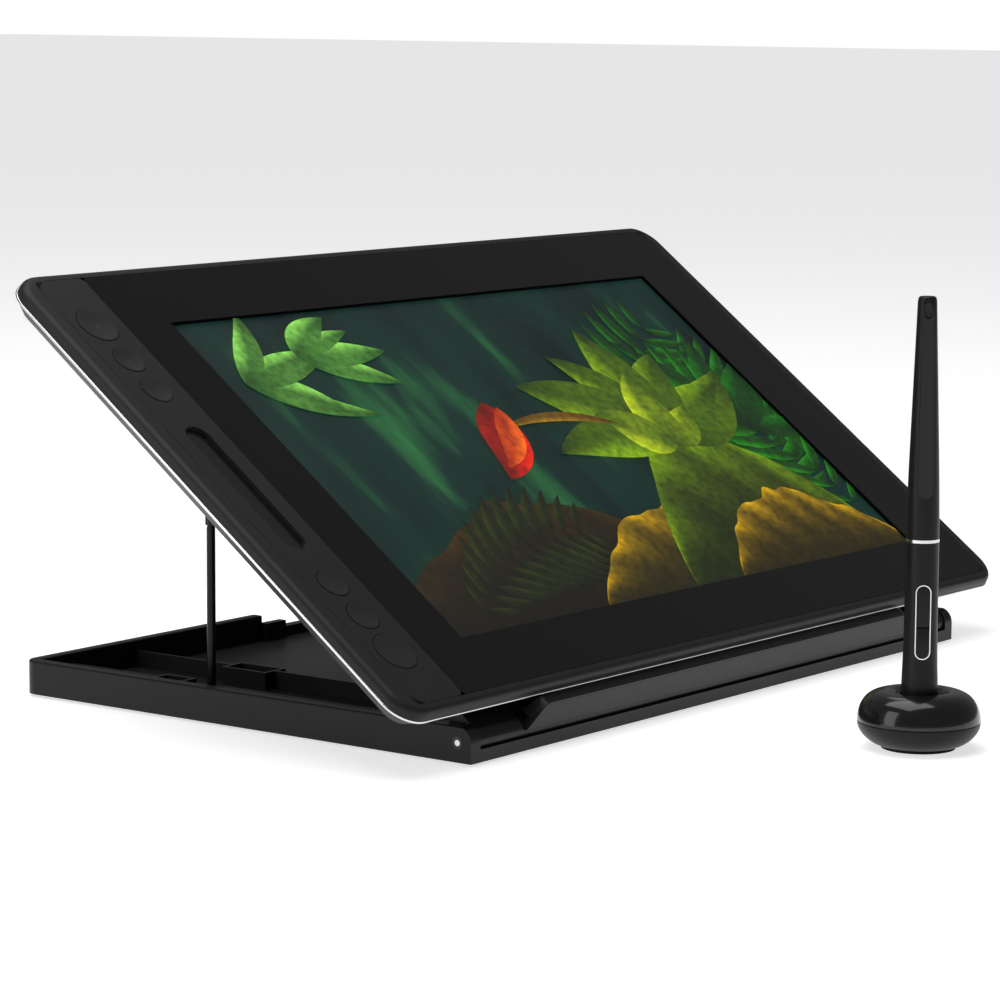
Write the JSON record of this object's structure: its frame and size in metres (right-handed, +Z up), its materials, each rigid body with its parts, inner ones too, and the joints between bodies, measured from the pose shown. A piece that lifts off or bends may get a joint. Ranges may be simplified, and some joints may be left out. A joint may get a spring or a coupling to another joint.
{
  "type": "pen drawing tablet",
  "caption": "Pen display tablet on a folding tray stand, with round shortcut keys, a battery-free pen and its round holder.",
  "frame": {"origin": "on the desk plane under the middle of the stand's tray", "axes": "+X along the hinge from the key side to the socket side, +Y from the front edge to the back of the tray, +Z up"},
  "size_m": [0.4385, 0.3727, 0.1778],
  "materials": {
    "tray_black": "satin moulded, fine grain",
    "plate_black": "satin moulded",
    "frame_black": "soft matte",
    "cover_black": "fine matte grain",
    "key_black": "matte, slightly dished",
    "strip_black": "gloss",
    "glass": "clear glass over black print",
    "picture": "lit display",
    "silver": "polished",
    "steel": "plain",
    "dark_steel": "black satin paint",
    "rubber": "matte",
    "board_green": "printed board",
    "copper": "wound wire",
    "pen_black": "soft touch",
    "nib_grey": "plain",
    "holder_gloss": "gloss dome"
  },
  "bodies": {
    "stand": {"base_tray": "tray_black", "tray_feet": "rubber", "hinge_pin_left": "steel", "hinge_pin_right": "steel"},
    "plate": {"support_plate": "plate_black", "lip_inserts": "silver", "plate_pads": "rubber", "leg_pivot_left": "steel", "leg_pivot_right": "steel"},
    "prop": {"prop_leg_left": "dark_steel", "prop_leg_right": "dark_steel", "prop_cross_rod": "dark_steel"},
    "tablet": {"front_frame": "frame_black", "rim_trim": "silver", "rear_cover": "cover_black", "video_socket": "steel", "power_socket": "steel", "cover_glass": "glass", "lit_screen": "picture", "display_module": "steel", "pen_sensor_board": "board_green", "steel_shield": "steel", "main_board": "board_green", "key_panel": "frame_black", "touch_strip": "strip_black", "key_board": "board_green", "case_screws": "steel"},
    "power_button": {"power_button": "key_black"},
    "key_1": {"key_1": "key_black"},
    "key_2": {"key_2": "key_black"},
    "key_3": {"key_3": "key_black"},
    "key_4": {"key_4": "key_black"},
    "key_5": {"key_5": "key_black"},
    "key_6": {"key_6": "key_black"},
    "holder": {"holder_base_shell": "pen_black", "holder_foot": "rubber", "nib_puller": "nib_grey", "holder_weight": "steel", "spare_nibs": "nib_grey", "holder_liner": "pen_black"},
    "holder_cap": {"holder_top_shell": "holder_gloss"},
    "pen": {"pen_grip": "pen_black", "pen_switch_trim": "silver", "pen_ring": "silver", "pen_rear_barrel": "pen_black", "pen_clip_inlay": "pen_black", "pen_coil": "copper", "pen_pressure_sensor": "steel", "pen_board": "board_green"},
    "pen_nib": {"pen_nib": "nib_grey"},
    "pen_button_upper": {"pen_button_upper": "pen_black"},
    "pen_button_lower": {"pen_button_lower": "pen_black"}
  },
  "joints": [
    {"name": "stand_tilt", "type": "hinge", "parent": "stand", "child": "plate", "pos_m": [0, -0.1115, 0.0087], "axis": [1, 0, 0], "range_deg": [0, 25]},
    {"name": "prop_swing", "type": "hinge", "parent": "plate", "child": "prop", "pos_m": [0, 0.035, 0.115], "axis": [1, 0, 0], "range_deg": [-25, 0]},
    {"name": "tablet_lift", "type": "slide", "parent": "plate", "child": "tablet", "axis": [0, -0.6018, 0.7986], "range_m": [0, 0.2]},
    {"name": "key_1_press", "type": "slide", "parent": "tablet", "child": "key_1", "axis": [0, 0.6018, -0.7986], "range_m": [0, 0.0004], "stiffness_N_per_m": 900},
    {"name": "key_2_press", "type": "slide", "parent": "tablet", "child": "key_2", "axis": [0, 0.6018, -0.7986], "range_m": [0, 0.0004], "stiffness_N_per_m": 900},
    {"name": "key_3_press", "type": "slide", "parent": "tablet", "child": "key_3", "axis": [0, 0.6018, -0.7986], "range_m": [0, 0.0004], "stiffness_N_per_m": 900},
    {"name": "key_4_press", "type": "slide", "parent": "tablet", "child": "key_4", "axis": [0, 0.6018, -0.7986], "range_m": [0, 0.0004], "stiffness_N_per_m": 900},
    {"name": "key_5_press", "type": "slide", "parent": "tablet", "child": "key_5", "axis": [0, 0.6018, -0.7986], "range_m": [0, 0.0004], "stiffness_N_per_m": 900},
    {"name": "key_6_press", "type": "slide", "parent": "tablet", "child": "key_6", "axis": [0, 0.6018, -0.7986], "range_m": [0, 0.0004], "stiffness_N_per_m": 900},
    {"name": "power_press", "type": "slide", "parent": "tablet", "child": "power_button", "axis": [-1, 0, 0], "range_m": [0, 0.0004], "stiffness_N_per_m": 900},
    {"name": "holder_lift", "type": "slide", "parent": "stand", "child": "holder", "axis": [0, 0, 1], "range_m": [0, 0.1]},
    {"name": "holder_twist", "type": "hinge", "parent": "holder", "child": "holder_cap", "pos_m": [-0.0385, -0.2305, 0.015], "axis": [0, 0, 1], "range_deg": [0, 30]},
    {"name": "pen_lift", "type": "slide", "parent": "holder", "child": "pen", "axis": [0, 0, 1], "range_m": [0, 0.18]},
    {"name": "nib_press", "type": "slide", "parent": "pen", "child": "pen_nib", "axis": [0, 0, 1], "range_m": [0, 0.0004], "stiffness_N_per_m": 600},
    {"name": "upper_button_press", "type": "slide", "parent": "pen", "child": "pen_button_upper", "axis": [0.7848, 0.6198, 0], "range_m": [0, 0.0003], "stiffness_N_per_m": 900},
    {"name": "lower_button_press", "type": "slide", "parent": "pen", "child": "pen_button_lower", "axis": [0.7848, 0.6198, 0], "range_m": [0, 0.0003], "stiffness_N_per_m": 900}
  ],
  "couplings": [
    {"joint": "prop_swing", "follows": "stand_tilt", "ratio": -1}
  ]
}
